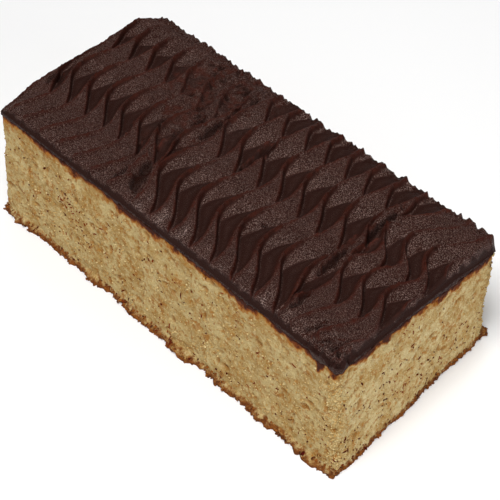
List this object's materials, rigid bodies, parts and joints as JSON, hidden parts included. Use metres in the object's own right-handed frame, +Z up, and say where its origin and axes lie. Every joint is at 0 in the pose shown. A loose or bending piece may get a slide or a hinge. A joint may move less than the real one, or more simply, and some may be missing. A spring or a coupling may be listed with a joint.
{
  "type": "iced banana cake",
  "caption": "Banana bar cake: a hand-cut block of speckled sponge under thick dark icing combed in wavy strokes.",
  "frame": {"origin": "centre of the bounding box's bottom face, under the middle of the cake's foot", "axes": "+Z up from the foot to the icing, +X along the cake's length, -Y out of its near long side"},
  "size_m": [0.1934, 0.0956, 0.0616],
  "materials": {
    "sponge": "cut banana sponge: pale straw crumb with dark specks, open pores and a browned foot",
    "icing": "dark brown set icing, satin in the strokes and finely grained, with a few tears"
  },
  "bodies": {
    "root": {"cake": "sponge", "icing": "icing"}
  },
  "joints": []
}
